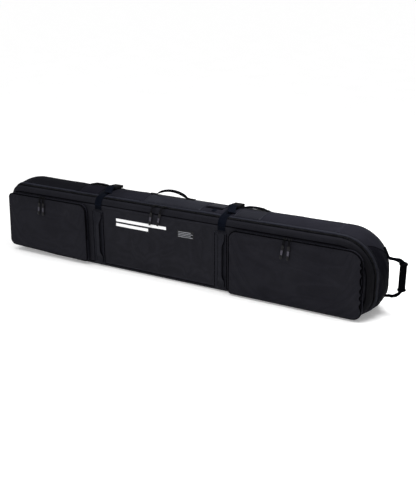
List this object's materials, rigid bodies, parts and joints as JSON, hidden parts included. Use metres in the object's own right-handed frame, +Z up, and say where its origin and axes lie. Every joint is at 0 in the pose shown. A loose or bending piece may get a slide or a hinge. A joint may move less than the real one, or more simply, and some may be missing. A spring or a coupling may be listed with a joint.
{
  "type": "snowboard bag",
  "caption": "Long padded snowboard bag with a zipped lid, lid pockets, compression straps with side-release buckles, carry handles, an end pull handle and corner wheels.",
  "frame": {"origin": "on the resting face, midway between the lid and the back, 825 mm from the flat wheel end", "axes": "+X along the bag towards the pull handle, -Y out of the lid, +Y out of the rolling face, +Z up from the long edge the bag stands on"},
  "size_m": [1.702, 0.2495, 0.3292],
  "materials": {
    "panel_fabric": "matte",
    "lid_fabric": "matte",
    "pocket_fabric": "matte",
    "patch_fabric": "matte",
    "lining_foam": "matte",
    "board_plastic": "matte",
    "housing_plastic": "matte",
    "rivet_steel": "satin",
    "zip_tape": "matte",
    "zip_metal": "satin",
    "pull_rubber": "satin",
    "strap_webbing": "satin",
    "handle_webbing": "matte",
    "buckle_plastic": "satin",
    "card": "matte",
    "grip_plastic": "satin",
    "wheel_tyre": "matte",
    "hub_plastic": "satin",
    "bearing_steel": "satin"
  },
  "bodies": {
    "shell": {"back_panel": "panel_fabric", "top_gusset": "panel_fabric", "bottom_gusset": "panel_fabric", "wheel_end_panel": "panel_fabric", "handle_end_panel": "panel_fabric", "lid_fold": "panel_fabric", "handle_patches": "patch_fabric", "shell_padding": "lining_foam", "stiffener_board": "board_plastic", "wheel_housing": "housing_plastic", "skid_rails": "housing_plastic", "skid_rail_rivets": "rivet_steel", "wheel_axles": "rivet_steel", "main_zip_shell_tape": "zip_tape", "left_strap_rear": "strap_webbing", "right_strap_rear": "strap_webbing", "left_buckle_socket": "buckle_plastic", "right_buckle_socket": "buckle_plastic", "pull_handle_anchors": "handle_webbing", "address_frame": "buckle_plastic", "address_card": "card"},
    "lid": {"lid_panel": "lid_fabric", "lid_band": "lid_fabric", "lid_padding": "lining_foam", "main_zip_lid_tape": "zip_tape", "left_lash_band": "handle_webbing", "right_lash_band": "handle_webbing", "left_side_handle": "handle_webbing", "right_side_handle": "handle_webbing", "left_pocket_gusset": "pocket_fabric", "right_pocket_gusset": "pocket_fabric"},
    "left_flap": {"left_pocket_flap": "pocket_fabric"},
    "right_flap": {"right_pocket_flap": "pocket_fabric"},
    "left_strap": {"left_strap_front": "strap_webbing", "left_buckle_tongue": "buckle_plastic"},
    "right_strap": {"right_strap_front": "strap_webbing", "right_buckle_tongue": "buckle_plastic"},
    "pull_handle": {"pull_handle_web": "handle_webbing", "pull_handle_grip": "grip_plastic"},
    "rear_handle": {"rear_top_handle": "handle_webbing"},
    "middle_handle": {"middle_top_handle": "handle_webbing"},
    "front_handle": {"front_top_handle": "handle_webbing"},
    "lower_wheel": {"lower_wheel_tyre": "wheel_tyre", "lower_wheel_hub": "hub_plastic", "lower_wheel_bearings": "bearing_steel"},
    "upper_wheel": {"upper_wheel_tyre": "wheel_tyre", "upper_wheel_hub": "hub_plastic", "upper_wheel_bearings": "bearing_steel"},
    "main_slider_a": {"main_slider_a": "zip_metal"},
    "main_pull_a": {"main_pull_a": "pull_rubber"},
    "main_slider_b": {"main_slider_b": "zip_metal"},
    "main_pull_b": {"main_pull_b": "pull_rubber"},
    "left_pocket_slider_a": {"left_pocket_slider_a": "zip_metal"},
    "left_pocket_pull_a": {"left_pocket_pull_a": "pull_rubber"},
    "left_pocket_slider_b": {"left_pocket_slider_b": "zip_metal"},
    "left_pocket_pull_b": {"left_pocket_pull_b": "pull_rubber"},
    "right_pocket_slider_a": {"right_pocket_slider_a": "zip_metal"},
    "right_pocket_pull_a": {"right_pocket_pull_a": "pull_rubber"},
    "right_pocket_slider_b": {"right_pocket_slider_b": "zip_metal"},
    "right_pocket_pull_b": {"right_pocket_pull_b": "pull_rubber"}
  },
  "joints": [
    {"name": "lid_fold", "type": "hinge", "parent": "shell", "child": "lid", "pos_m": [0, -0.105, 0], "axis": [1, 0, 0], "range_deg": [0, 90]},
    {"name": "left_strap_swing", "type": "hinge", "parent": "lid", "child": "left_strap", "pos_m": [-0.354, -0.1075, 0.244], "axis": [1, 0, 0], "range_deg": [0, 120]},
    {"name": "right_strap_swing", "type": "hinge", "parent": "lid", "child": "right_strap", "pos_m": [0.213, -0.1075, 0.244], "axis": [1, 0, 0], "range_deg": [0, 120]},
    {"name": "left_flap_fold", "type": "hinge", "parent": "lid", "child": "left_flap", "pos_m": [-0.61, -0.1223, 0.013], "axis": [1, 0, 0], "range_deg": [0, 75]},
    {"name": "right_flap_fold", "type": "hinge", "parent": "lid", "child": "right_flap", "pos_m": [0.51, -0.1183, 0.006], "axis": [1, 0, 0], "range_deg": [0, 75]},
    {"name": "main_slider_a_run", "type": "slide", "parent": "lid", "child": "main_slider_a", "axis": [-1, 0, 0], "range_m": [0, 0.215]},
    {"name": "main_pull_a_swing", "type": "hinge", "parent": "main_slider_a", "child": "main_pull_a", "pos_m": [-0.088, -0.08852, 0.29534], "axis": [-0.9816, 0, 0.1908], "range_deg": [0, 150]},
    {"name": "main_slider_b_run", "type": "slide", "parent": "lid", "child": "main_slider_b", "axis": [1, 0, 0], "range_m": [0, 0.215]},
    {"name": "main_pull_b_swing", "type": "hinge", "parent": "main_slider_b", "child": "main_pull_b", "pos_m": [-0.046, -0.08852, 0.29534], "axis": [-0.9613, 0, 0.2756], "range_deg": [0, 150]},
    {"name": "left_pocket_slider_a_run", "type": "slide", "parent": "lid", "child": "left_pocket_slider_a", "axis": [-1, 0, 0], "range_m": [0, 0.14]},
    {"name": "left_pocket_pull_a_swing", "type": "hinge", "parent": "left_pocket_slider_a", "child": "left_pocket_pull_a", "pos_m": [-0.638, -0.1244, 0.2625], "axis": [-0.9877, 0, 0.1564], "range_deg": [0, 150]},
    {"name": "left_pocket_slider_b_run", "type": "slide", "parent": "lid", "child": "left_pocket_slider_b", "axis": [1, 0, 0], "range_m": [0, 0.165]},
    {"name": "left_pocket_pull_b_swing", "type": "hinge", "parent": "left_pocket_slider_b", "child": "left_pocket_pull_b", "pos_m": [-0.62, -0.1244, 0.2625], "axis": [-0.9976, 0, 0.0698], "range_deg": [0, 150]},
    {"name": "right_pocket_slider_a_run", "type": "slide", "parent": "lid", "child": "right_pocket_slider_a", "axis": [-1, 0, 0], "range_m": [0, 0.18]},
    {"name": "right_pocket_pull_a_swing", "type": "hinge", "parent": "right_pocket_slider_a", "child": "right_pocket_pull_a", "pos_m": [0.476, -0.1204, 0.2625], "axis": [-0.9877, 0, 0.1564], "range_deg": [0, 150]},
    {"name": "right_pocket_slider_b_run", "type": "slide", "parent": "lid", "child": "right_pocket_slider_b", "axis": [1, 0, 0], "range_m": [0, 0.2]},
    {"name": "right_pocket_pull_b_swing", "type": "hinge", "parent": "right_pocket_slider_b", "child": "right_pocket_pull_b", "pos_m": [0.496, -0.1204, 0.2625], "axis": [-0.9976, 0, 0.0698], "range_deg": [0, 150]},
    {"name": "rear_handle_swing", "type": "hinge", "parent": "shell", "child": "rear_handle", "pos_m": [-0.431, 0.022, 0.30824], "axis": [1, 0, 0], "range_deg": [-40, 40]},
    {"name": "middle_handle_swing", "type": "hinge", "parent": "shell", "child": "middle_handle", "pos_m": [-0.08, 0.022, 0.30824], "axis": [1, 0, 0], "range_deg": [-40, 40]},
    {"name": "front_handle_swing", "type": "hinge", "parent": "shell", "child": "front_handle", "pos_m": [0.291, 0.022, 0.30824], "axis": [1, 0, 0], "range_deg": [-40, 40]},
    {"name": "pull_handle_swing", "type": "hinge", "parent": "shell", "child": "pull_handle", "pos_m": [0.824, 0.022, 0.133], "axis": [0, 0, 1], "range_deg": [-60, 60]},
    {"name": "lower_wheel_spin", "type": "hinge", "parent": "shell", "child": "lower_wheel", "pos_m": [-0.789, 0.075, 0.064], "axis": [0, 0, 1], "continuous": true},
    {"name": "upper_wheel_spin", "type": "hinge", "parent": "shell", "child": "upper_wheel", "pos_m": [-0.789, 0.075, 0.208], "axis": [0, 0, 1], "continuous": true}
  ]
}
